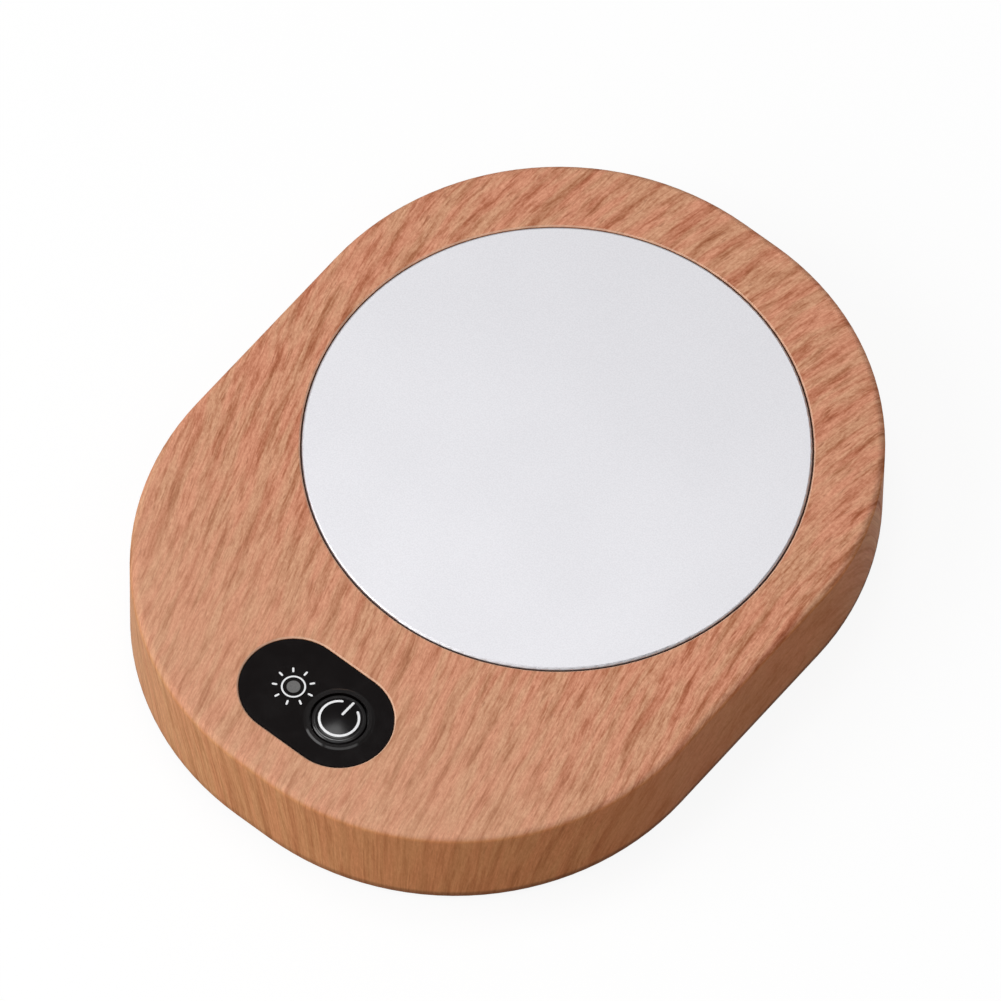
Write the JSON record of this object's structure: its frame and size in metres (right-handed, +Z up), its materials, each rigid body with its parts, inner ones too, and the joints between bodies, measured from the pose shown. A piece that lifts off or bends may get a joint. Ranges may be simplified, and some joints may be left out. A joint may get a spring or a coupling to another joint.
{
  "type": "mug warmer",
  "caption": "Rounded desk mug warmer: wood-grain housing, flush round heating plate, glossy panel with a sprung power button and indicator, rear power socket, base cover and feet.",
  "frame": {"origin": "on the standing surface, under the middle of the housing", "axes": "+Z up, +Y along the length from the control panel to the heating plate"},
  "size_m": [0.109, 0.14, 0.0217],
  "materials": {
    "wood_grain": "satin moulding with a printed wood grain",
    "plate_metal": "fine matte blasted",
    "seal_rubber": "matte",
    "film": "satin polyimide film",
    "track_metal": "etched foil",
    "felt": "fibre felt",
    "tray_plastic": "heat-resistant moulding",
    "screw_steel": "zinc plated",
    "black_plastic": "matte moulding",
    "fuse_metal": "satin",
    "panel_gloss": "high gloss",
    "tape": "foam tape",
    "button_gloss": "gloss",
    "light_pipe": "smoky translucent",
    "board_green": "solder mask",
    "socket_metal": "bright stamped",
    "dome_metal": "sprung sheet",
    "led_lens": "clear resin",
    "can_metal": "satin",
    "connector_plastic": "nylon",
    "lead_red": "silicone sleeve",
    "lead_black": "silicone sleeve",
    "lead_white": "silicone sleeve",
    "lead_yellow": "silicone sleeve",
    "base_plastic": "matte moulding",
    "foot_rubber": "matte"
  },
  "bodies": {
    "warmer": {"housing": "wood_grain", "heating_plate": "plate_metal", "plate_seal": "seal_rubber", "heater_film": "film", "heater_track": "track_metal", "insulation_pad": "felt", "clamp_tray": "tray_plastic", "tray_screws": "screw_steel", "temperature_sensor": "black_plastic", "thermal_fuse": "fuse_metal", "control_panel": "panel_gloss", "panel_tape": "tape", "light_pipe": "light_pipe", "main_board": "board_green", "board_screws": "screw_steel", "switch_case": "black_plastic", "switch_cover": "socket_metal", "switch_dome": "dome_metal", "indicator_led": "led_lens", "control_chip": "black_plastic", "power_transistor": "black_plastic", "filter_capacitor": "can_metal", "power_connector": "connector_plastic", "heater_connector": "connector_plastic", "sensor_connector": "connector_plastic", "socket_board": "board_green", "socket_screws": "screw_steel", "socket_shell": "socket_metal", "socket_insert": "black_plastic", "power_lead_left": "lead_red", "power_lead_right": "lead_black", "heater_lead_left": "lead_white", "heater_lead_right": "lead_white", "sensor_lead_left": "lead_yellow", "sensor_lead_right": "lead_yellow", "base_cover": "base_plastic", "base_screws": "screw_steel", "foot_front_left": "foot_rubber", "foot_front_right": "foot_rubber", "foot_rear_left": "foot_rubber", "foot_rear_right": "foot_rubber"},
    "power_button": {"power_button": "button_gloss"},
    "switch_plunger": {"switch_plunger": "black_plastic"}
  },
  "joints": [
    {"name": "button_press", "type": "slide", "parent": "warmer", "child": "power_button", "axis": [0, 0, -1], "range_m": [0, 0.0003], "stiffness_N_per_m": 2000, "springref_m": -0.0003},
    {"name": "plunger_press", "type": "slide", "parent": "warmer", "child": "switch_plunger", "axis": [0, 0, -1], "range_m": [0, 0.0003], "deforming": ["switch_dome"]}
  ],
  "couplings": [
    {"joint": "plunger_press", "follows": "button_press", "ratio": 1}
  ]
}
